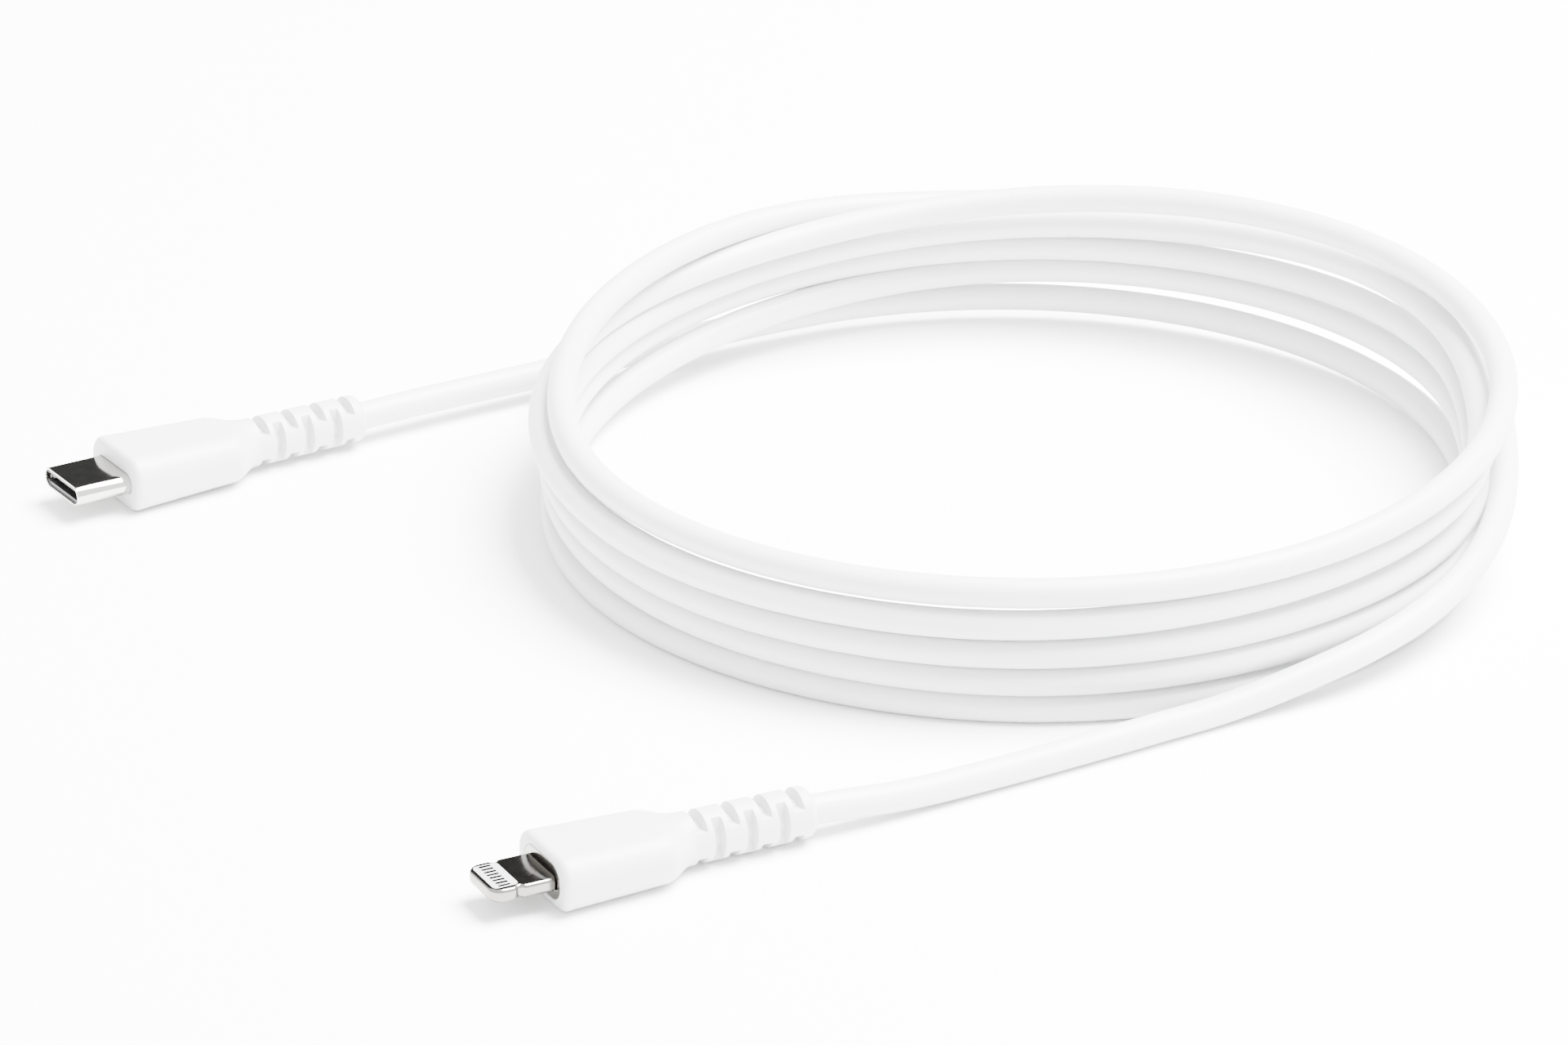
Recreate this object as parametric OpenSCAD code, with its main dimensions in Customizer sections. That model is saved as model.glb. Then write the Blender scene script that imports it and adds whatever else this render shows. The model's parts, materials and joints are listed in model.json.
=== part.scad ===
// Charging cable, 2 m: a USB-C plug at one end, a reversible eight-contact
// flat-tab plug at the other, and the cord between them wound into a round
// coil. Millimetres, +Z up. The origin is on the surface that the cable lies
// on, midway between the two plugs. +X runs from the USB-C plug into its cord.

/* [Cord] */
// Outer diameter of the cord's jacket
cord_d = 3.2; // [2.8:0.1:3.6]
// Radius of the coil to the middle of its wall
coil_r = 53.5; // [50:0.1:58]
// Thickness of the coil's wall, ovality included
coil_wall = 11.8; // [8:0.1:13]
// Height of the coil
coil_h = 20.4; // [12:0.1:22]

/* [Grips] */
// Width of each grip near its front
grip_w = 11.5; // [11:0.1:12.5]
// Width of each grip where its shoulder starts
grip_back_w = 10.3; // [10:0.1:11]
// Thickness of the USB-C grip near its front
usb_grip_h = 6.4; // [6:0.1:7]
// Thickness of the USB-C grip where its shoulder starts
usb_back_h = 5.6; // [5.4:0.1:6]
// Thickness of the flat-tab grip near its front
tab_grip_h = 5.8; // [5.8:0.1:6.5]
// Thickness of the flat-tab grip where its shoulder starts
tab_back_h = 5.4; // [5.4:0.1:5.8]
// Radius of the grips' long edges
grip_edge_r = 2.5; // [2:0.1:2.6]
// Rounding of the grips' front edge
grip_front_r = 0.7; // [0.3:0.1:1]
// Length of the wide part of the USB-C grip
usb_wide_l = 14.2; // [14:0.1:17]
// Length of the wide part of the flat-tab grip
tab_wide_l = 13; // [12.6:0.1:15]
// Length of the shoulder between the wide part and the strain relief
shoulder_l = 2.7; // [2:0.1:4]

/* [Strain reliefs] */
// Diameter where the strain relief starts
relief_d1 = 5.6; // [5.4:0.1:5.6]
// Diameter at its free end
relief_d2 = 5.4; // [4.8:0.1:5.4]
// Length from the shoulder to the free end
relief_l = 14.2; // [14:0.1:16]
// Distance from the shoulder to the middle of the first slot on top
slot_start = 1.1; // [0.8:0.1:2]
// Spacing of the slots
slot_pitch = 3.65; // [3.4:0.05:3.7]
// Width of a slot
slot_w = 1; // [0.8:0.1:1.3]
// Distance from the axis to a slot's flat floor
slot_floor = 1.7; // [1.7:0.05:2]
// Distance from the shoulder to the middle of the first slot on each side
side_slot_start = 2.9; // [2.7:0.1:3.8]

/* [USB-C plug] */
// Width of the metal shell
shell_w = 8.25; // [8.2:0.05:8.3]
// Height of the metal shell
shell_h = 2.4; // [2.35:0.05:2.45]
// Length of shell outside the grip
shell_out = 6.65; // [6.5:0.05:6.8]
// Thickness of the shell's sheet
shell_t = 0.25; // [0.2:0.01:0.3]

/* [Flat-tab plug] */
// Width of the tab
tab_w = 6.7; // [6.6:0.05:6.8]
// Thickness of the tab
tab_t = 1.5; // [1.45:0.05:1.55]
// Length of tab outside the grip
tab_out = 6.9; // [6.8:0.05:7]

/* [Hidden] */
$fn = 48;

eps = 0.01;
usb_axis_h = usb_grip_h / 2;
tab_axis_h = tab_grip_h / 2;
usb_front = [-7.6, 55.6];
tab_front = [-16.6, -54.9];
tab_turn = -4.5;
coil_centre = [77.4, -0.4];
usb_relief_x = usb_wide_l + shoulder_l;
tab_relief_x = tab_wide_l + shoulder_l;
usb_end_x = usb_relief_x + relief_l;
tab_end_x = tab_relief_x + relief_l;

// Inner pieces, measured from the grip's front face
mould_front = 0.8;
mould_w = 9.2;
mould_h = 4.2;
mould_l = 12;
mould_r = 0.9;
can_front = 1.2;
can_w = 8.8;
can_h = 3.4;
can_t = 0.25;
can_l = 8.5;
metal_back = can_front + can_t;
board_t = 0.8;
board_w = 7.6;
board_back = can_front + can_l - 1.2;
crimp_d = 4;
jacket_bore = 2.4;
braid_bore = 2.15;
core_d = 0.7;
core_ring_r = 0.68;
// How far the plug's end of the cord reaches into the strain relief, where
// the uncoiled run takes over
cord_joint = 0.5;

// Routes of the two uncoiled runs of cord, from inside the relief to the coil
usb_run = [
    [usb_front.x + usb_relief_x + cord_joint, usb_front.y, usb_axis_h],
    [usb_front.x + usb_relief_x + 7, usb_front.y, usb_axis_h],
    [usb_front.x + usb_end_x, usb_front.y, usb_axis_h],
    [26, 55.7, 3.2], [30, 55.8, 3.2], [35, 56, 3.1], [41, 56.1, 3], [48, 56.2, 2.9],
    [56, 56.2, 2.9], [64, 56.1, 3], [72, 55.9, 3.1],
];
function from_tab(x) =
    [tab_front.x + x * cos(tab_turn), tab_front.y + x * sin(tab_turn), tab_axis_h];
tab_run = [
    from_tab(tab_relief_x + cord_joint), from_tab(tab_relief_x + 7), from_tab(tab_end_x),
    [17, -57.6, 2.7], [21, -57.8, 2.3], [26, -57.9, 1.9], [32, -57.9, 1.7],
    [39, -57.9, 1.6], [47, -57.9, 1.6], [56, -57.8, 1.6], [65, -57.6, 1.6], [72, -57.4, 1.6],
];

// ---------- shared shapes ----------

// Flat oval lying across the plug: w wide and h high
module oval(w, h) {
    square([w - h, h], center = true);
    for (s = [-1, 1]) translate([s * (w - h) / 2, 0]) circle(d = h);
}

// Rectangle with round corners, made of squares and circles
module round_rect(w, h, r) {
    square([w - 2 * r, h], center = true);
    square([w, h - 2 * r], center = true);
    for (x = [-1, 1], y = [-1, 1])
        translate([x * (w / 2 - r), y * (h / 2 - r)]) circle(r);
}

// Runs a flat outline, drawn as seen from the plug's tip, along the plug
module along(x0, x1) {
    translate([x0, 0, 0]) rotate([90, 0, 90]) linear_extrude(x1 - x0) children();
}

// A block by its two opposite corners
module block(a, b) { translate(a) cube(b - a); }

// A round bar along the plug
module bar(x0, x1, d) { translate([x0, 0, 0]) rotate([0, 90, 0]) cylinder(d = d, h = x1 - x0); }

module at_usb() { translate([usb_front.x, usb_front.y, usb_axis_h]) children(); }
module at_tab() { translate(from_tab(0)) rotate(tab_turn) children(); }

// ---------- cord ----------

function unit(v) = v / norm(v);
function heading(p, i) =
    unit(p[min(i + 1, len(p) - 1)] - p[max(i - 1, 0)]);

// Eight-sided tube along a route, closed at both ends
module tube(p, d) {
    sides = 8;
    n = len(p);
    rings = [for (i = [0 : n - 1])
        let (t = heading(p, i), side = unit(cross([0, 0, 1], t)), up = cross(t, side))
        for (k = [0 : sides - 1])
            p[i] + d / 2 * (cos(360 * k / sides) * side + sin(360 * k / sides) * up)];
    walls = [for (i = [0 : n - 2], k = [0 : sides - 1])
        let (a = i * sides + k, b = i * sides + (k + 1) % sides)
        [a + sides, b + sides, b, a]];
    ends = [[for (k = [0 : sides - 1]) k],
            [for (k = [sides - 1 : -1 : 0]) (n - 1) * sides + k]];
    polyhedron(rings, concat(walls, ends));
}

module coil() {
    color("white") translate([coil_centre.x, coil_centre.y, 0]) rotate_extrude($fn = 96)
        translate([coil_r - coil_wall / 2, 0]) square([coil_wall, coil_h]);
}

// Everything within the coil's outside, where an uncoiled run stops
module within_coil() {
    translate([coil_centre.x, coil_centre.y, -1])
        cylinder(r = coil_r + coil_wall / 2, h = coil_h + 2, $fn = 96);
}

module usb_c_cord_run() { color("white") difference() { tube(usb_run, cord_d); within_coil(); } }
module tab_cord_run() { color("white") difference() { tube(tab_run, cord_d); within_coil(); } }

// ---------- what both plugs share ----------

// Outline of a strain relief from its axis outward, free end rounded
module relief_profile() {
    r1 = relief_d1 / 2;
    r2 = relief_d2 / 2;
    nose = 1;
    polygon([[0, 0], [r1, 0], [r2 + 0.05, relief_l - nose], [0, relief_l - nose]]);
    translate([0, relief_l - nose]) square([r2 - nose, nose]);
    intersection() {
        translate([r2 - nose, relief_l - nose]) circle(nose);
        square([r2, relief_l]);
    }
}

// Slots on top and underneath, then slots on the two sides between them
module relief_slots() {
    reach = relief_d1;
    for (i = [0 : 3], s = [0, 180]) rotate([s, 0, 0])
        translate([slot_start + i * slot_pitch - slot_w / 2, -reach, slot_floor])
            cube([slot_w, 2 * reach, reach]);
    for (i = [0 : 2], s = [90, 270]) rotate([s, 0, 0])
        translate([side_slot_start + i * slot_pitch - slot_w / 2, -reach, slot_floor])
            cube([slot_w, 2 * reach, reach]);
}

// Thin slice of a grip at x, w wide and h high
module slice(x, w, h, r = grip_edge_r) {
    along(x, x + eps) round_rect(w, h, r, $fn = 32);
}

// Soft grip with its slotted strain relief, moulded as one piece. It tapers
// from front_h to back_h, and closes in front around the outline given as
// its child
module overmould(wide_l, front_h, back_h) {
    relief_x = wide_l + shoulder_l;
    round_in = 2 * grip_front_r;
    difference() {
        union() {
            hull() {
                slice(0, grip_w - round_in, front_h - round_in, grip_edge_r - grip_front_r);
                slice(grip_front_r / 3, grip_w - round_in / 4, front_h - round_in / 4,
                      grip_edge_r - grip_front_r / 4);
                slice(grip_front_r, grip_w, front_h);
            }
            hull() {
                slice(grip_front_r, grip_w, front_h);
                slice(wide_l, grip_back_w, back_h);
            }
            hull() {
                slice(wide_l, grip_back_w, back_h);
                slice(wide_l + shoulder_l * 0.4, grip_back_w * 0.82, back_h);
            }
            hull() {
                slice(wide_l + shoulder_l * 0.4, grip_back_w * 0.82, back_h);
                bar(relief_x, relief_x + eps, relief_d1, $fn = 32);
            }
            translate([relief_x, 0, 0]) difference() {
                rotate([0, 90, 0]) rotate_extrude() relief_profile();
                relief_slots();
            }
        }
        bar(mould_l - 1, relief_x + relief_l + 1, cord_d);
        along(mould_front, mould_l) round_rect(mould_w, mould_h, mould_r);
        along(-1, mould_front + eps) children();
    }
}

// Stiff plastic moulded over the can and the cord's end, open in front to
// the outline given as its child
module inner_mould() {
    difference() {
        along(mould_front, mould_l) round_rect(mould_w, mould_h, mould_r);
        along(0, can_front + eps) children();
        along(can_front, can_front + can_l) square([can_w, can_h], center = true);
        bar(can_front + can_l - 1, mould_l + 1, crimp_d);
    }
}

// Stamped can around the board, open in front to the outline given as its
// child and behind to the cord
module shield_can() {
    difference() {
        along(can_front, can_front + can_l) square([can_w, can_h], center = true);
        along(can_front + can_t, can_front + can_l - can_t)
            square([can_w - 2 * can_t, can_h - 2 * can_t], center = true);
        along(0, metal_back + eps) children();
        bar(can_front + can_l - 1, can_front + can_l + 1, jacket_bore);
    }
}

module board() {
    block([metal_back, -board_w / 2, -board_t / 2], [board_back, board_w / 2, board_t / 2]);
}

module crimp_ring() {
    difference() {
        bar(can_front + can_l, mould_l, crimp_d);
        bar(can_front + can_l - 1, mould_l + 1, cord_d);
    }
}

module jacket_end(relief_x) {
    difference() {
        bar(can_front + can_l, relief_x + cord_joint, cord_d);
        bar(can_front + can_l - 1, relief_x + 1, jacket_bore);
    }
}

module braid(relief_x) {
    difference() {
        bar(can_front + can_l, relief_x + cord_joint, jacket_bore);
        bar(can_front + can_l - 1, relief_x + 1, braid_bore);
    }
}

// One insulated core: it lies beside its neighbours in the braid and runs
// out to the board
module core(place, relief_x) {
    rotate([72 * place, 0, 0]) translate([0, 0, core_ring_r])
        bar(board_back, relief_x + cord_joint, core_d);
}

// ---------- USB-C plug ----------

contact_pitch = 0.5;
contact_w = 0.26;
contact_room = 0.04;
upper_ways = [1, 4, 5, 6, 7, 9, 12];
lower_ways = [1, 4, 5, 9, 12];
cavity_w = 6.8;
cavity_h = 1;
housing_front = -shell_out + 0.25;
latch_t = 0.15;
latch_y = 3.35;
latch_front = -5.9;
latch_back = -0.92;
hook_l = 0.6;
hook_y = 3.12;
window_h = 0.8;
window_y = 3.05;

module shell_outline() { oval(shell_w, shell_h); }

module usb_c_overmould() {
    color("white") at_usb() overmould(usb_wide_l, usb_grip_h, usb_back_h) shell_outline();
}

module usb_c_shell() {
    color("silver") at_usb() difference() {
        along(-shell_out, metal_back) shell_outline();
        along(-shell_out - 1, metal_back + 1) oval(shell_w - 2 * shell_t, shell_h - 2 * shell_t);
    }
}

// Black plastic body inside the shell, with the cavity that the socket's
// tongue enters, a window at each side for the latches and a pocket on top
// and underneath for the ground springs
module usb_c_housing() {
    color("dimgray") at_usb() difference() {
        along(housing_front, metal_back) oval(shell_w - 2 * shell_t, shell_h - 2 * shell_t);
        block([-shell_out, -cavity_w / 2, -cavity_h / 2], [-1.2, cavity_w / 2, cavity_h / 2]);
        for (side = [-1, 1])
            across(side, -shell_out, latch_back + 0.02, window_y, shell_w / 2, window_h);
        for (way = upper_ways) contact(way, 1, contact_room);
        for (way = lower_ways) contact(way, -1, contact_room);
        for (side = [-1, 1]) ground_spring(side);
    }
}

// A block from x0 to x1, from y0 to y1 on one side of the axis and h high
module across(side, x0, x1, y0, y1, h) {
    block([x0, min(side * y0, side * y1), -h / 2], [x1, max(side * y0, side * y1), h / 2]);
}

// A block from x0 to x1, w wide about y, from z0 to z1 above or below
module facing(side, x0, x1, y, w, z0, z1) {
    block([x0, y - w / 2, min(side * z0, side * z1)], [x1, y + w / 2, max(side * z0, side * z1)]);
}

// One sprung contact: it lies in the cavity's roof or floor and bows in near
// the mouth. The housing's slot for it is larger by room
module contact(way, side, room = 0) {
    y = (way - 6.5) * contact_pitch;
    w = contact_w + 2 * room;
    facing(side, -5.2 - room, -4.4, y, w, 0.42, 0.62 + room);
    facing(side, -4.4 - eps, metal_back + room, y, w, 0.55 - room, 0.7 + room);
}

// The contact's end that is soldered to the board
module contact_tail(way, side) {
    facing(side, metal_back, 2.8, (way - 6.5) * contact_pitch, contact_w, board_t / 2, 0.7);
}

module usb_c_upper_contacts() {
    color("gold") at_usb() for (way = upper_ways) { contact(way, 1); contact_tail(way, 1); }
}

module usb_c_lower_contacts() {
    color("gold") at_usb() for (way = lower_ways) { contact(way, -1); contact_tail(way, -1); }
}

// Sprung side arm with a hook that snaps into the socket's tongue
module latch(side) {
    across(side, latch_front, latch_back, latch_y, latch_y + latch_t, 0.5);
    across(side, latch_front, latch_front + hook_l, hook_y, latch_y + eps, 0.5);
}

module usb_c_left_latch() { color("silver") at_usb() latch(1); }
module usb_c_right_latch() { color("silver") at_usb() latch(-1); }

// Thin sheet between the housing and the shell
module ground_spring(side) {
    z = shell_h / 2 - shell_t;
    facing(side, -5.9, -3.6, 0, 4.8, z - 0.12, z);
}

module usb_c_upper_ground_spring() { color("silver") at_usb() ground_spring(1); }
module usb_c_lower_ground_spring() { color("silver") at_usb() ground_spring(-1); }

module usb_c_board() { color("green") at_usb() board(); }

module usb_c_board_parts() {
    color("black") at_usb() {
        facing(1, 4, 5.8, 0, 2.2, board_t / 2, 1);
        for (y = [-2.4, 2.4]) facing(1, 4.2, 5.2, y, 0.5, board_t / 2, 0.75);
    }
}

module usb_c_shield_can() { color("silver") at_usb() shield_can() shell_outline(); }
module usb_c_inner_mould() { color("ivory") at_usb() inner_mould() shell_outline(); }
module usb_c_crimp_ring() { color("silver") at_usb() crimp_ring(); }
module usb_c_jacket_end() { color("white") at_usb() jacket_end(usb_relief_x); }
module usb_c_braid() { color("silver") at_usb() braid(usb_relief_x); }
module usb_c_power_core() { color("red") at_usb() core(0, usb_relief_x); }
module usb_c_ground_core() { color("black") at_usb() core(1, usb_relief_x); }
module usb_c_data_plus_core() { color("green") at_usb() core(2, usb_relief_x); }
module usb_c_data_minus_core() { color("white") at_usb() core(3, usb_relief_x); }
module usb_c_sense_core() { color("blue") at_usb() core(4, usb_relief_x); }

// ---------- flat-tab plug ----------

tab_corner_r = 1;
carrier_w = 5.3;
carrier_front = 0.4;
carrier_l = 2.75;
pad_pitch = 0.65;
pad_w = 0.32;
pad_l = 1.35;
pad_front = 1;
notch_x = 3.95;
notch_w = 1.1;
notch_d = 0.35;
collar_w = 8.2;
collar_h = 3.9;

module tab_outline() { round_rect(tab_w, tab_t, 0.45); }

module tab_overmould() {
    color("white") at_tab() overmould(tab_wide_l, tab_grip_h, tab_back_h) oval(collar_w, collar_h);
}

// Plan of the tab seen from above, tip at -tab_out
module tab_plan() {
    translate([-tab_out + tab_corner_r, -tab_w / 2])
        square([tab_out - tab_corner_r + metal_back, tab_w]);
    translate([-tab_out, -tab_w / 2 + tab_corner_r])
        square([tab_corner_r + eps, tab_w - 2 * tab_corner_r]);
    for (s = [-1, 1])
        translate([-tab_out + tab_corner_r, s * (tab_w / 2 - tab_corner_r)]) circle(tab_corner_r);
}

// Plan of the contact carrier's opening in each face of the tab
module carrier_plan() {
    translate([-tab_out + carrier_front + carrier_l / 2, 0]) round_rect(carrier_l, carrier_w, 0.5);
}

module tab_frame() {
    color("silver") at_tab() difference() {
        intersection() {
            translate([0, 0, -tab_t / 2]) linear_extrude(tab_t) tab_plan();
            along(-tab_out - 1, metal_back + 1) tab_outline();
        }
        translate([0, 0, -tab_t]) linear_extrude(2 * tab_t) carrier_plan();
        for (s = [-1, 1])
            translate([-notch_x, s * (tab_w / 2 + notch_w / 2 - notch_d), -tab_t])
                cylinder(d = notch_w, h = 2 * tab_t);
    }
}

module pads(side) {
    for (i = [0 : 7])
        facing(side, -tab_out + pad_front, -tab_out + pad_front + pad_l,
               (i - 3.5) * pad_pitch, pad_w, tab_t / 2 - 0.2, tab_t / 2);
}

module tab_contact_carrier() {
    color("white") at_tab() difference() {
        translate([0, 0, -tab_t / 2]) linear_extrude(tab_t) carrier_plan();
        pads(1);
        pads(-1);
    }
}

module tab_upper_contacts() { color("silver") at_tab() pads(1); }
module tab_lower_contacts() { color("silver") at_tab() pads(-1); }

// Plated collar that closes the grip's front around the tab
module tab_collar() {
    color("gray") at_tab() difference() {
        along(0, mould_front) oval(collar_w, collar_h);
        along(-1, mould_front + 1) tab_outline();
    }
}

module tab_board() { color("green") at_tab() board(); }

module tab_board_parts() {
    color("black") at_tab() {
        facing(1, 2.4, 4.8, 0, 2.6, board_t / 2, 1.05);
        facing(1, 5.4, 7, 0, 1.8, board_t / 2, 0.95);
        for (y = [-2.6, 2.6]) facing(1, 2.6, 3.6, y, 0.5, board_t / 2, 0.75);
    }
}

module tab_shield_can() { color("silver") at_tab() shield_can() tab_outline(); }
module tab_inner_mould() { color("ivory") at_tab() inner_mould() tab_outline(); }
module tab_crimp_ring() { color("silver") at_tab() crimp_ring(); }
module tab_jacket_end() { color("white") at_tab() jacket_end(tab_relief_x); }
module tab_braid() { color("silver") at_tab() braid(tab_relief_x); }
module tab_power_core() { color("red") at_tab() core(0, tab_relief_x); }
module tab_ground_core() { color("black") at_tab() core(1, tab_relief_x); }
module tab_data_plus_core() { color("green") at_tab() core(2, tab_relief_x); }
module tab_data_minus_core() { color("white") at_tab() core(3, tab_relief_x); }
module tab_sense_core() { color("blue") at_tab() core(4, tab_relief_x); }

coil();
usb_c_cord_run();
tab_cord_run();
usb_c_overmould();
usb_c_shell();
usb_c_housing();
usb_c_upper_contacts();
usb_c_lower_contacts();
usb_c_left_latch();
usb_c_right_latch();
usb_c_upper_ground_spring();
usb_c_lower_ground_spring();
usb_c_board();
usb_c_board_parts();
usb_c_shield_can();
usb_c_inner_mould();
usb_c_crimp_ring();
usb_c_jacket_end();
usb_c_braid();
usb_c_power_core();
usb_c_ground_core();
usb_c_data_plus_core();
usb_c_data_minus_core();
usb_c_sense_core();
tab_overmould();
tab_frame();
tab_contact_carrier();
tab_upper_contacts();
tab_lower_contacts();
tab_collar();
tab_board();
tab_board_parts();
tab_shield_can();
tab_inner_mould();
tab_crimp_ring();
tab_jacket_end();
tab_braid();
tab_power_core();
tab_ground_core();
tab_data_plus_core();
tab_data_minus_core();
tab_sense_core();
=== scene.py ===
import json
import math

import bmesh
import bpy
import numpy as np
from mathutils import Matrix, Vector


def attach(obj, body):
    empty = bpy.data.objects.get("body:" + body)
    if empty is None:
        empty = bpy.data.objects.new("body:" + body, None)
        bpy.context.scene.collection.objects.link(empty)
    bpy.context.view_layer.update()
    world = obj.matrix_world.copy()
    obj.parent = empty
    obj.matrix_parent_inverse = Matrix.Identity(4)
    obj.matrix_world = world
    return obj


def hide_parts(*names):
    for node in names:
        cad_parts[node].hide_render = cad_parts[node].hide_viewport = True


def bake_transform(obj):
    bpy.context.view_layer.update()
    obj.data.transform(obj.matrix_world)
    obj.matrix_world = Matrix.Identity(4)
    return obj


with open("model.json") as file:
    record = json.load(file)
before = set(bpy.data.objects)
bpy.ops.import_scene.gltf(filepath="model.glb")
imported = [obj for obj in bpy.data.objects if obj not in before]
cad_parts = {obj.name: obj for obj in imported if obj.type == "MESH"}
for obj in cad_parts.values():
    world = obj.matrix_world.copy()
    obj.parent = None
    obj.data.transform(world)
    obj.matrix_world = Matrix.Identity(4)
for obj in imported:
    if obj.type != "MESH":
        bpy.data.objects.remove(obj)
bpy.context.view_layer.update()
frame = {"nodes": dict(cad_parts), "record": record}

record = frame["record"]
mm = 0.001
BODIES = record["behaviour"]["bodies"]
BODY_OF = {node: body for body, nodes in BODIES.items() for node in nodes}
SLOT_OF = {part["node"]: part["material_slot"] for part in record["subparts"]}
MOUNTS = {mount["name"]: mount for mount in record["mounts"]}

# ---------- camera ----------

camera_data = bpy.data.cameras.new("camera")
camera_data.lens = 163.4
camera_data.sensor_width = 36
camera_data.clip_start = 0.01
camera = bpy.data.objects.new("camera", camera_data)
camera.location = (-0.33156, -0.60431, 0.32017)
camera.rotation_euler = (math.radians(66.18), 0, math.radians(-32))
bpy.context.scene.collection.objects.link(camera)
bpy.context.scene.camera = camera

# ---------- the cord's route ----------

CORD_D = 3.2 * mm
COIL_CENTRE = (77.4, -0.4)
# The coil's bearings start at the camera's right, this far round from +X
VIEW_TURN = 32
# Degrees from one point of a turn to the next
STEP = 7.5
# Degrees to each side over which a corner in the coil's values is rounded off
EASE = 22.5

# Where each plug's cord lies before it joins the coil, in millimetres
TAB_RUN = [
    (8.3, -56.9, 2.9), (13, -57.2, 2.9), (17, -57.6, 2.7), (21, -57.8, 2.3), (26, -57.9, 1.9),
    (32, -57.9, 1.7), (39, -57.9, 1.6), (47, -57.9, 1.6), (56, -57.8, 1.6), (65, -57.7, 1.7),
]
USB_RUN = [
    (64, 56.1, 3), (56, 56.2, 2.9), (48, 56.2, 2.9), (41, 56.1, 3), (35, 56, 3.1),
    (30, 55.8, 3.2), (26, 55.7, 3.2), (23.5, 55.6, 3.2), (18.5, 55.6, 3.2),
]
# The coil: bearing in degrees, counted on through every turn, then how far the
# cord lies from the coil's middle and how high, in millimetres. The cord climbs
# outside the wall, crosses to the top and winds down to the floor
TURNS = [
    (-66, 58.2, 2), (-60, 57.6, 3.2), (-45, 57.2, 4.9), (-30, 56, 6.8), (-15, 53.6, 8.9),
    (0, 52, 10.9), (15, 53.4, 13), (30, 56.4, 15.2), (60, 57, 15.6), (75, 57, 15),
    (90, 56.9, 14.2), (105, 55.2, 15.4), (120, 53.4, 17.5), (150, 51.3, 17), (180, 50.9, 15.6),
    (210, 53.6, 14.6), (240, 54.6, 14.4), (270, 55.5, 14.8), (300, 55, 15.2), (330, 53.8, 16.6),
    (360, 52.4, 17.9), (390, 52.2, 18.7), (420, 52.2, 18.5), (450, 51.2, 17.1), (480, 51.2, 14.6),
    (510, 53, 13.2), (540, 53.4, 12.4), (585, 55.4, 11.2), (630, 55.9, 11.2), (690, 53, 13),
    (720, 49.4, 14.1), (740, 51.4, 14.6), (765, 54.3, 14.7), (810, 54, 13), (855, 52.8, 10.8),
    (900, 52.4, 9.2), (945, 55, 8), (990, 55.8, 7.9), (1050, 52.6, 8.8), (1080, 49, 9.2),
    (1105, 53, 10.2), (1125, 54.3, 10.5), (1170, 55, 10), (1215, 54.3, 8), (1260, 52, 6),
    (1305, 54.2, 4.8), (1350, 55.7, 4.7), (1410, 52.8, 5.4), (1440, 49.2, 5.9), (1465, 53, 6.4),
    (1500, 55.9, 6.9), (1530, 55.6, 7), (1545, 54.2, 6.5), (1560, 53.2, 5.7), (1575, 53, 4.4),
    (1590, 53, 3.1), (1605, 52.5, 2.1), (1620, 52, 1.7), (1650, 53.6, 1.6), (1710, 55.4, 1.6),
    (1755, 53.6, 1.6), (1800, 49.4, 1.6), (1830, 52.8, 2), (1860, 55.3, 2.7), (1887, 56.2, 3),
    (1905, 56, 3.1), (1922, 55.9, 3.1),
]


def eased(bearings, at, values):
    """The values between the given bearings, with every corner rounded off."""
    spread = np.arange(-EASE, EASE + 1, EASE / 6)
    weights = np.cos(np.radians(90 * spread / (EASE + 4))) ** 2
    sampled = sum(w * np.interp(bearings + s, at, values) for w, s in zip(weights, spread))
    return sampled / weights.sum()


def cord_points():
    """From inside the tab's strain relief, round the coil, to inside the USB-C one."""
    at, radii, heights = np.array(TURNS, float).T
    bearings = np.arange(at[0] + STEP, at[-1] - STEP / 2, STEP)
    radius = eased(bearings, at, radii)
    height = eased(bearings, at, heights)
    points = list(TAB_RUN)
    for bearing, r, z in zip(np.radians(bearings - VIEW_TURN), radius, height):
        points.append((COIL_CENTRE[0] + r * math.cos(bearing),
                       COIL_CENTRE[1] + r * math.sin(bearing), z))
    return [Vector(p) * mm for p in points + USB_RUN]


def cord_curve(points):
    data = bpy.data.curves.new("cord", "CURVE")
    data.dimensions = "3D"
    data.bevel_depth = CORD_D / 2
    data.bevel_resolution = 7
    data.resolution_u = 4
    data.use_fill_caps = True
    spline = data.splines.new("BEZIER")
    spline.bezier_points.add(len(points) - 1)
    for knot, point in zip(spline.bezier_points, points):
        knot.co = point
        knot.handle_left_type = knot.handle_right_type = "AUTO"
    return placed("cord", data)


def placed(name, data):
    piece = bpy.data.objects.new(name, data)
    bpy.context.scene.collection.objects.link(piece)
    return piece


# ---------- shader arithmetic ----------

class Wire:
    """A node's output. Arithmetic on it adds Math nodes."""

    def __init__(self, tree, socket):
        self.tree = tree
        self.socket = socket

    def math(self, operation, first, second):
        return add_node(self.tree, "Math", {"operation": operation}, {0: first, 1: second})

    def __add__(self, other):
        return self.math("ADD", self, other)

    def __sub__(self, other):
        return self.math("SUBTRACT", self, other)

    def __rsub__(self, other):
        return self.math("SUBTRACT", other, self)

    def __mul__(self, other):
        return self.math("MULTIPLY", self, other)

    __radd__ = __add__
    __rmul__ = __mul__


def feed(tree, socket, value):
    """Links a wire to a socket, or sets the socket to a number, vector or colour."""
    if isinstance(value, Wire):
        tree.links.new(value.socket, socket)
    elif socket.type == "RGBA":
        socket.default_value = (*value, 1)
    else:
        socket.default_value = value


def chosen(sockets, key):
    """A socket by its place in the list, or by its name among those in use."""
    if isinstance(key, int):
        return sockets[key]
    return next(s for s in sockets if s.name == key and s.enabled)


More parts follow.
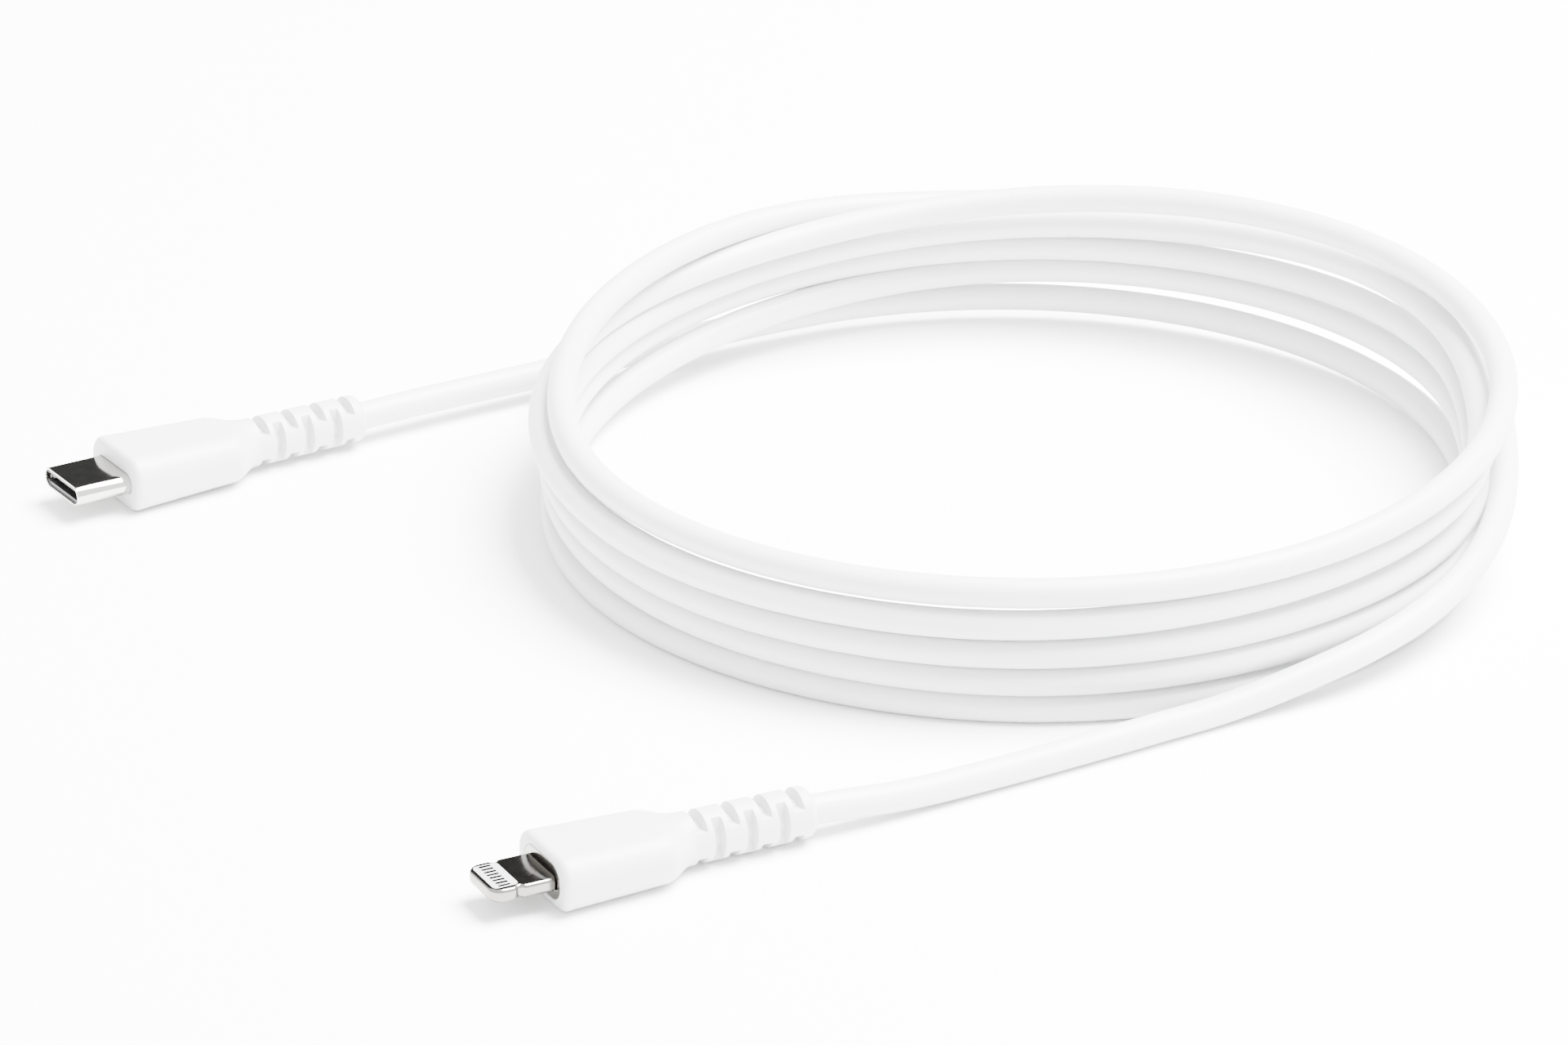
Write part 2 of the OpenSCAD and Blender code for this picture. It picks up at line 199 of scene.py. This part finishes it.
def add_node(tree, kind, settings, values, output=None):
    """Adds a node, sets it up, feeds its inputs and returns its named or first output."""
    made = tree.nodes.new("ShaderNode" + kind)
    for name, value in settings.items():
        setattr(made, name, value)
    for key, value in values.items():
        feed(tree, chosen(made.inputs, key), value)
    if output:
        return Wire(tree, chosen(made.outputs, output))
    return Wire(tree, next(s for s in made.outputs if s.enabled))


def mixed(factor, a, b):
    """Colour a where factor is 0 and b where it is 1."""
    return add_node(factor.tree, "Mix", {"data_type": "RGBA"}, {"Factor": factor, "A": a, "B": b})


class Finish:
    """One material: its shader, and where on the part it is being shaded."""

    def __init__(self, name):
        self.material = bpy.data.materials.new(name)
        self.material.use_nodes = True
        self.tree = self.material.node_tree
        self.shader = self.tree.nodes["Principled BSDF"]
        self.place = add_node(self.tree, "TexCoord", {}, {}, "Object")

    def noise(self, scale, detail=3.0, stretch=(1, 1, 1)):
        where = add_node(self.tree, "Mapping", {}, {"Vector": self.place, "Scale": stretch})
        return add_node(self.tree, "TexNoise", {},
                        {"Vector": where, "Scale": scale, "Detail": detail})

    def set(self, **values):
        for name, value in values.items():
            feed(self.tree, self.shader.inputs[name.replace("_", " ")], value)

    def bump(self, height, depth):
        """Height from 0 to 1 stands depth metres proud."""
        self.set(Normal=add_node(self.tree, "Bump", {},
                                 {"Height": height, "Distance": depth, "Strength": 1.0}))


def shade(color, share):
    return tuple(min(1.0, c * share) for c in color)


# How many grains of each kind a metre of surface holds, from coarse to fine
DRAWN = 90
MOTTLE = 220
LANDS = 700
MARKS = 900
SKIN = 3800
GRAIN = 5200
POLISH = 6500
# How deep light gets into the soft white plastics
GLOW = 0.8 * mm


def moulded(name, color, roughness, grain=0.012 * mm, soft=0.0):
    """Moulded plastic or elastomer: a faint mottle, and a fine matte grain."""
    finish = Finish(name)
    mottle = finish.noise(MOTTLE)
    fine = finish.noise(GRAIN, 2)
    finish.set(Base_Color=mixed(mottle, shade(color, 0.97), shade(color, 1.03)),
               Roughness=(fine - 0.5) * 0.16 + roughness, Specular_IOR_Level=0.5)
    finish.bump(fine, grain)
    if soft:
        finish.set(Subsurface_Weight=soft, Subsurface_Scale=GLOW)
    return finish.material


def jacket(name, color):
    """The cord's extruded skin: drawn smooth, with a slow unevenness."""
    finish = Finish(name)
    slow = finish.noise(DRAWN, 2)
    fine = finish.noise(SKIN, 3)
    finish.set(Base_Color=mixed(slow, shade(color, 0.985), shade(color, 1.01)),
               Roughness=(fine - 0.5) * 0.12 + 0.42, Subsurface_Weight=0.08,
               Subsurface_Scale=GLOW)
    finish.bump(slow * 0.8 + fine * 0.2, 0.03 * mm)
    return finish.material


def plated(name, color, roughness, lines=(1, 1, 1), wear=0.06):
    """Plated or polished metal: faint handling marks, drawn lines if asked for."""
    finish = Finish(name)
    marks = finish.noise(MARKS, 4, lines)
    fine = finish.noise(POLISH, 2, lines)
    finish.set(Base_Color=mixed(marks, shade(color, 0.94), shade(color, 1.05)), Metallic=1.0,
               Roughness=(marks - 0.5) * wear * 2 + roughness)
    finish.bump(fine, 0.0015 * mm)
    return finish.material


def solder_mask(name, color):
    """Circuit board: blocks of copper that stand up under an uneven lacquer."""
    finish = Finish(name)
    blocks = add_node(finish.tree, "TexBrick", {"offset": 0.35},
                      {"Vector": finish.place, "Scale": LANDS})
    finish.set(Base_Color=mixed(finish.noise(1500), shade(color, 0.8), shade(color, 1.5)),
               Roughness=(finish.noise(3000) - 0.5) * 0.1 + 0.3)
    finish.bump(finish.noise(1800, 1) * 0.6 + blocks * 0.4, 0.02 * mm)
    return finish.material


def woven_wire(name, color):
    """Copper braid: fine strands that run slantwise round the cord."""
    finish = Finish(name)
    strands = add_node(finish.tree, "TexWave",
                       {"wave_type": "BANDS", "bands_direction": "DIAGONAL"},
                       {"Vector": finish.place, "Scale": MARKS, "Distortion": 1.5})
    finish.set(Base_Color=mixed(strands, shade(color, 0.55), color), Metallic=1.0,
               Roughness=strands * 0.15 + 0.3)
    finish.bump(strands, 0.04 * mm)
    return finish.material


FINISHES = {
    "cord_jacket": lambda name: jacket(name, (0.59, 0.59, 0.592)),
    "soft_white_mould": lambda name: moulded(name, (0.54, 0.541, 0.546), 0.45, soft=0.05),
    "polished_shell": lambda name: plated(name, (0.5, 0.49, 0.47), 0.11),
    "black_insulator": lambda name: moulded(name, (0.012, 0.012, 0.013), 0.35),
    "gold_contacts": lambda name: plated(name, (0.95, 0.70, 0.32), 0.2),
    "tab_pads": lambda name: plated(name, (0.015, 0.015, 0.014), 0.3),
    "spring_steel": lambda name: plated(name, (0.62, 0.61, 0.6), 0.28, (1, 12, 1)),
    "circuit_board": lambda name: solder_mask(name, (0.02, 0.16, 0.06)),
    "chip_black": lambda name: moulded(name, (0.02, 0.02, 0.02), 0.55, 0.02 * mm),
    "tinned_steel": lambda name: plated(name, (0.66, 0.66, 0.64), 0.33, (1, 10, 1), 0.1),
    "inner_mould": lambda name: moulded(name, (0.72, 0.71, 0.66), 0.5, soft=0.2),
    "copper_braid": lambda name: woven_wire(name, (0.76, 0.66, 0.56)),
    "plated_tab": lambda name: plated(name, (0.2, 0.193, 0.18), 0.16),
    "white_carrier": lambda name: moulded(name, (0.4, 0.4, 0.4), 0.4),
    "core_red": lambda name: moulded(name, (0.6, 0.03, 0.03), 0.35),
    "core_black": lambda name: moulded(name, (0.02, 0.02, 0.02), 0.35),
    "core_green": lambda name: moulded(name, (0.03, 0.4, 0.1), 0.35),
    "core_white": lambda name: moulded(name, (0.8, 0.8, 0.8), 0.35),
    "core_blue": lambda name: moulded(name, (0.05, 0.15, 0.6), 0.35),
}
MATERIALS = {slot: make(slot) for slot, make in FINISHES.items()}

for node, carried in frame["nodes"].items():
    for place in carried.material_slots:
        place.material = MATERIALS[SLOT_OF[node]]

# ---------- mesh helpers ----------

# How many corners a cross-section has, and at what angles they lie
AROUND = 144
ANGLES = np.linspace(0, 2 * math.pi, AROUND, endpoint=False)
COS = np.cos(ANGLES)
SIN = np.sin(ANGLES)
# Keeps a division by the sine or cosine of a right angle finite
TINY = 1e-9
# Degrees: an edge that turns more than this stays crisp
CRISP = 40
CRISP_BEVEL = 50
# Degrees: a CAD edge that turns more than this is rounded
SHARP = 35


def outline(width, height, corner):
    """How far a rounded rectangle's edge lies from its middle, all the way round."""
    c = np.abs(COS)
    s = np.abs(SIN)
    a = width / 2
    b = height / 2
    reach = np.minimum(a / np.maximum(c, TINY), b / np.maximum(s, TINY))
    over = c * (a - corner) + s * (b - corner)
    inside = over ** 2 - ((a - corner) ** 2 + (b - corner) ** 2 - corner ** 2)
    rounded = over + np.sqrt(np.maximum(inside, 0))
    in_corner = (reach * c > a - corner) & (reach * s > b - corner)
    return np.where(in_corner, rounded, reach)


def circle(diameter):
    return np.full(AROUND, diameter / 2)


def smooth(t):
    t = np.clip(t, 0, 1)
    return t * t * (3 - 2 * t)


def shaded(mesh, crisp=CRISP):
    """Turns every face outwards and shades the mesh smooth between its crisp edges."""
    work = bmesh.new()
    work.from_mesh(mesh)
    bmesh.ops.recalc_face_normals(work, faces=work.faces)
    for face in work.faces:
        face.smooth = True
    for edge in work.edges:
        if len(edge.link_faces) == 2:
            edge.smooth = edge.calc_face_angle() < math.radians(crisp)
    work.to_mesh(mesh)
    work.free()


def lofted(name, rings, matrix):
    """A closed skin through rings, each an x and a reach all the way round, in millimetres."""
    corners = [(x, r * c, r * s) for x, reach in rings for r, c, s in zip(reach, COS, SIN)]
    faces = [(i * AROUND + k, i * AROUND + (k + 1) % AROUND,
              (i + 1) * AROUND + (k + 1) % AROUND, (i + 1) * AROUND + k)
             for i in range(len(rings) - 1) for k in range(AROUND)]
    last = (len(rings) - 1) * AROUND
    faces.append(tuple(reversed(range(AROUND))))
    faces.append(tuple(range(last, last + AROUND)))
    mesh = bpy.data.meshes.new(name)
    mesh.from_pydata([matrix @ (Vector(c) * mm) for c in corners], [], faces)
    shaded(mesh)
    return placed(name, mesh)


def merged(name, parts):
    """One object made of several, each a closed skin of its own."""
    work = bmesh.new()
    for part in parts:
        work.from_mesh(part.data)
        bpy.data.objects.remove(part)
    mesh = bpy.data.meshes.new(name)
    work.to_mesh(mesh)
    work.free()
    shaded(mesh)
    return placed(name, mesh)


def cut_out(piece, cutter):
    """Takes the cutter's shape out of the piece."""
    step = piece.modifiers.new("opening", "BOOLEAN")
    step.operation = "DIFFERENCE"
    step.solver = "EXACT"
    step.object = cutter
    bpy.context.view_layer.update()
    graph = bpy.context.evaluated_depsgraph_get()
    result = bpy.data.meshes.new_from_object(piece.evaluated_get(graph))
    piece.modifiers.clear()
    piece.data = result
    bpy.data.objects.remove(cutter)
    shaded(result)


def dressed(piece, node):
    """Gives a piece the material and slot of the CAD node whose place it takes."""
    piece.data.materials.clear()
    piece.data.materials.append(MATERIALS[SLOT_OF[node]])
    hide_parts(node)
    return piece


def ridden(piece, node):
    """Dresses a rigid piece and sets it on the body of the node that it replaces."""
    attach(dressed(piece, node), BODY_OF[node])


def softened(node, width):
    """A copy of a CAD node with its sharp edges rounded, which takes the node's place."""
    mesh = frame["nodes"][node].data.copy()
    work = bmesh.new()
    work.from_mesh(mesh)
    bmesh.ops.remove_doubles(work, verts=work.verts, dist=0.0005 * mm)
    bmesh.ops.dissolve_limit(work, angle_limit=math.radians(1), verts=work.verts, edges=work.edges)
    edges = [e for e in work.edges
             if len(e.link_faces) == 2 and e.calc_face_angle() > math.radians(SHARP)]
    bmesh.ops.bevel(work, geom=edges, offset=width, offset_type="OFFSET", segments=3,
                    profile=0.5, affect="EDGES", clamp_overlap=True)
    bmesh.ops.triangulate(work, faces=[f for f in work.faces if len(f.verts) > 4])
    work.to_mesh(mesh)
    work.free()
    shaded(mesh, CRISP_BEVEL)
    ridden(placed(node + "_finished", mesh), node)


# ---------- where the plugs lie ----------

# How far each plug's metal stands out of its grip
USB_OUT = 6.65
TAB_OUT = 6.9


def plug_matrix(mount_name, metal_out):
    """From a plug's own axes, with its grip's front face at x = 0, to the row frame."""
    mount = MOUNTS[mount_name]
    along = -Vector(mount["axis"])
    front = Vector(mount["pos_m"]) + along * metal_out * mm
    across = Vector((0, 0, 1)).cross(along)
    return Matrix(((along.x, across.x, 0, front.x), (along.y, across.y, 0, front.y),
                   (along.z, across.z, 1, front.z), (0, 0, 0, 1)))


usb = plug_matrix("usb_c_interface", USB_OUT)
tab = plug_matrix("tab_interface", TAB_OUT)

# ---------- soft grips with their strain reliefs ----------

FRONT_W = 11.5
BACK_W = 10.3
EDGE_R = 2.5
FRONT_R = 0.7
OPENING_DEPTH = 0.75
OPENING_LIP = 0.08
OPENING_FLARE = 0.06

# The shoulder is the stretch from the grip to its relief. Its blend starts
# before the grip's end and stops inside the relief
SHOULDER_L = 2.7
BLEND_BEFORE = 1.2
BLEND_INSIDE = 0.5

RELIEF_D1 = 5.6
RELIEF_D2 = 5.4
RELIEF_L = 14.2
NOSE_R = 0.9
SLOT_HALF = 0.5
SLOT_EDGE = 0.1
SLOT_PITCH = 3.65
SLOT_FLOOR = 1.4
SLEEVE_R = 1.66
TOP_SLOTS = [1.1 + i * SLOT_PITCH for i in range(4)]
SIDE_SLOTS = [2.9 + i * SLOT_PITCH for i in range(3)]
BORE_D = 3.26
BORE_FLARE = 0.15
BORE_LIP = 0.12
BORE_DEPTH = 5.4


def slot_depth(x, middles):
    """1 in a slot, 0 between slots, and a soft edge between the two."""
    return max(float(smooth((SLOT_HALF + SLOT_EDGE - abs(x - middle)) / (2 * SLOT_EDGE)))
               for middle in middles)


def relief_reach(x):
    """The relief's outline at x past the shoulder, its slots cut flat down to its sleeve."""
    r = (RELIEF_D1 + (RELIEF_D2 - RELIEF_D1) * x / RELIEF_L) / 2
    into_nose = max(0.0, x - (RELIEF_L - NOSE_R))
    r -= NOSE_R - math.sqrt(max(0.0, NOSE_R ** 2 - into_nose ** 2))
    reach = circle(2 * r)
    for middles, facing in ((TOP_SLOTS, np.abs(SIN)), (SIDE_SLOTS, np.abs(COS))):
        floor = np.clip(SLOT_FLOOR / np.maximum(facing, TINY), SLEEVE_R, r)
        reach = reach - slot_depth(x, middles) * (r - floor)
    return reach


def relief_stations():
    """Where the relief's rings go: close together at the slots' edges and the nose."""
    near = [-0.16, -0.1, -0.05, 0, 0.05, 0.1, 0.16]
    places = {0.6, 1.0}
    for middle in TOP_SLOTS + SIDE_SLOTS:
        for edge in (-SLOT_HALF, SLOT_HALF):
            places.update(middle + edge + step for step in near)
        places.add(middle)
    places.update(RELIEF_L - NOSE_R + NOSE_R * math.sin(math.radians(t)) for t in range(0, 91, 10))
    return sorted(x for x in places if x <= RELIEF_L + 1e-6)


def front_rings(front_h, opening):
    """Out of the opening, over its eased lip, across the front face and round its edge."""
    width, height, corner = opening
    inner = outline(width, height, corner)
    lip = outline(width + 2 * OPENING_FLARE, height + 2 * OPENING_FLARE, corner + OPENING_FLARE)
    face = outline(FRONT_W - 2 * FRONT_R, front_h - 2 * FRONT_R, EDGE_R - FRONT_R)
    rings = [(OPENING_DEPTH, inner), (OPENING_LIP, inner), (0.0, lip)]
    rings += [(0.0, lip * (1 - share) + face * share) for share in (0.25, 0.5, 0.75)]
    for t in range(0, 91, 15):
        inset = FRONT_R * (1 - math.sin(math.radians(t)))
        rings.append((FRONT_R * (1 - math.cos(math.radians(t))),
                      outline(FRONT_W - 2 * inset, front_h - 2 * inset, EDGE_R - inset)))
    return rings


def soft_grip(name, node, matrix, front_h, back_h, wide_l, opening):
    """A grip that narrows to its shoulder, then its relief."""

    def wide_outline(x):
        share = min(1, x / wide_l)
        return outline(FRONT_W + (BACK_W - FRONT_W) * share,
                       front_h + (back_h - front_h) * share, EDGE_R)

    relief_x = wide_l + SHOULDER_L
    blend_x = wide_l - BLEND_BEFORE
    round_x = relief_x + BLEND_INSIDE
    end_x = relief_x + RELIEF_L
    rings = front_rings(front_h, opening)
    rings += [(x, wide_outline(x)) for x in np.linspace(FRONT_R, blend_x, 12)[1:]]
    for x in np.linspace(blend_x, round_x, 16)[1:]:
        share = smooth((x - blend_x) / (round_x - blend_x))
        rings.append((x, wide_outline(x) * (1 - share) + circle(RELIEF_D1) * share))
    rings += [(relief_x + x, relief_reach(x)) for x in relief_stations()]
    rings += [(end_x, circle(BORE_D + 2 * BORE_FLARE)), (end_x - BORE_LIP, circle(BORE_D)),
              (end_x - BORE_DEPTH, circle(BORE_D))]
    piece = dressed(lofted(name, rings, matrix), node)
    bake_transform(piece)


# ---------- the flat tab ----------

TAB_T = 1.5
TAB_W = 6.7
TAB_IN = 0.8
TAB_CORNER = 1.4
TAB_EDGE = 0.45
NOTCH_X = -3.95
NOTCH_R = 0.55
NOTCH_D = 0.35
# The carrier and the pads are set back from the tab's tip
CARRIER_W = 5.3
CARRIER_L = 2.75
CARRIER_CORNER = 0.5
CARRIER_EDGE = 0.04
CARRIER_X = 0.4 - TAB_OUT + CARRIER_L / 2
PADS = 8
PAD_L = 1.35
PAD_W = 0.38
PAD_CORNER = 0.12
PAD_EDGE = 0.03
PAD_SUNK = 0.2
PAD_X = 1 - TAB_OUT + PAD_L / 2
PAD_PITCH = 0.65
PROUD = 0.012
# The cutter stands clear of the tab above and below
CUTTER_LEVELS = (-1, 1)
CUTTER_EDGE = 0.01
LEAST_CORNER = 0.02


def notch_bite(reach, middle_x):
    """What the round detent notches take off the tab's two long edges."""
    from_notch = reach * COS + middle_x - NOTCH_X
    bite = np.sqrt(np.maximum(NOTCH_R ** 2 - from_notch ** 2, 0)) - NOTCH_R + NOTCH_D
    at_side = np.abs(SIN) > 0.6
    return np.where(at_side, np.maximum(bite, 0) / np.abs(SIN + TINY), 0)


def slab(name, middle, size, corner, levels, edge, notched=False):
    """A plate in the tab's plane, between two levels, its edges rounded, in millimetres."""
    length, width = size
    low, high = levels
    rings = []
    for t in range(-90, 91, 15):
        inset = edge * (1 - math.cos(math.radians(t)))
        straight_end = high - edge if t > 0 else low + edge
        reach = outline(length - 2 * inset, width - 2 * inset, max(corner - inset, LEAST_CORNER))
        if notched:
            reach = reach - notch_bite(reach, middle[0])
        rings.append((straight_end + edge * math.sin(math.radians(t)), reach))
    upright = Matrix(((0, 1, 0, middle[0] * mm), (0, 0, 1, middle[1] * mm), (1, 0, 0, 0),
                      (0, 0, 0, 1)))
    return lofted(name, rings, tab @ upright)


def pad_row(name, node, side):
    """The contact pads of one face: side is 1 for the upper face and -1 for the lower."""
    levels = sorted((side * (TAB_T / 2 - PAD_SUNK), side * (TAB_T / 2 + 2 * PROUD)))
    middles = [(PAD_X, (i - (PADS - 1) / 2) * PAD_PITCH) for i in range(PADS)]
    pads = [slab("pad", at, (PAD_L, PAD_W), PAD_CORNER, levels, PAD_EDGE) for at in middles]
    ridden(merged(name, pads), node)


def flat_tab():
    """The plate with its opening, the carrier that fills it, and the pads."""
    half = TAB_T / 2
    carrier_size = (CARRIER_L, CARRIER_W)
    plate = slab("tab_plate", ((TAB_IN - TAB_OUT) / 2, 0), (TAB_OUT + TAB_IN, TAB_W), TAB_CORNER,
                 (-half, half), TAB_EDGE, notched=True)
    cut_out(plate, slab("opening", (CARRIER_X, 0), carrier_size, CARRIER_CORNER, CUTTER_LEVELS,
                        CUTTER_EDGE))
    ridden(plate, "tab_frame")
    carrier = slab("contact_carrier", (CARRIER_X, 0), carrier_size, CARRIER_CORNER,
                   (-half - PROUD, half + PROUD), CARRIER_EDGE)
    ridden(carrier, "tab_contact_carrier")
    pad_row("upper_pads", "tab_upper_contacts", 1)
    pad_row("lower_pads", "tab_lower_contacts", -1)


# ---------- the pieces ----------

cord = cord_curve(cord_points())
cord.data.materials.append(MATERIALS["cord_jacket"])
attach(cord, "cord")
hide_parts("coil", "usb_c_cord_run", "tab_cord_run")

# Each opening's width, height and corner
soft_grip("usb_c_grip", "usb_c_overmould", usb, 6.4, 5.6, 14.2, (8.25, 2.4, 1.2))
soft_grip("tab_grip", "tab_overmould", tab, 5.8, 5.4, 13, (8.2, 3.9, 1.95))

softened("usb_c_shell", 0.06 * mm)
for node in ("usb_c_housing", "usb_c_upper_contacts", "usb_c_lower_contacts",
             "usb_c_left_latch", "usb_c_right_latch"):
    softened(node, 0.02 * mm)
softened("tab_collar", 0.08 * mm)
flat_tab()

# ---------- floor and light ----------

FLOOR_SIZE = 6.0
# The floor lies a little below the cord, so that the two never fight to be seen
FLOOR_DROP = 0.02 * mm
WHITE_ROOM = 4.0
# A dark card seen only in reflections: where it hangs, and the cosines of the
# angles from there at which it starts and is fully dark
CARD_TOWARDS = (0.4848, 0.7758, 0.405)
CARD_STARTS = 0.5
CARD_FULL = 0.72


def studio_floor():
    half = FLOOR_SIZE / 2
    mesh = bpy.data.meshes.new("floor")
    mesh.from_pydata([(-half, -half, 0), (half, -half, 0), (half, half, 0), (-half, half, 0)],
                     [], [(0, 1, 2, 3)])
    finish = Finish("studio_floor")
    finish.set(Base_Color=mixed(finish.noise(3), (0.93, 0.93, 0.935), (0.95, 0.95, 0.95)),
               Roughness=0.7, Specular_IOR_Level=0.2)
    mesh.materials.append(finish.material)
    floor = placed("floor", mesh)
    floor.location.z = -FLOOR_DROP


def studio_world():
    world = bpy.data.worlds.new("studio")
    bpy.context.scene.world = world
    world.use_nodes = True
    sky = world.node_tree
    background = sky.nodes["Background"]
    background.inputs["Strength"].default_value = WHITE_ROOM
    towards = add_node(sky, "TexCoord", {}, {}, "Generated")
    nearness = add_node(sky, "VectorMath", {"operation": "DOT_PRODUCT"},
                        {0: towards, 1: CARD_TOWARDS}, "Value")
    card = add_node(sky, "MapRange", {"interpolation_type": "SMOOTHSTEP"},
                    {"Value": nearness, "From Min": CARD_STARTS, "From Max": CARD_FULL})
    reflected = add_node(sky, "LightPath", {}, {}, "Is Glossy Ray")
    feed(sky, background.inputs["Color"], mixed(card * reflected, (1, 1, 1), (0.02, 0.02, 0.02)))


def softbox(name, place, aim, size, power):
    data = bpy.data.lights.new(name, "AREA")
    data.shape = "RECTANGLE"
    data.size, data.size_y = size
    data.energy = power
    lamp = placed(name, data)
    lamp.location = place
    lamp.rotation_euler = (Vector(aim) - Vector(place)).to_track_quat("-Z", "Y").to_euler()


studio_floor()
studio_world()
softbox("overhead", (0.45, -0.15, 0.9), (0.05, 0, 0), (0.7, 0.7), 150)
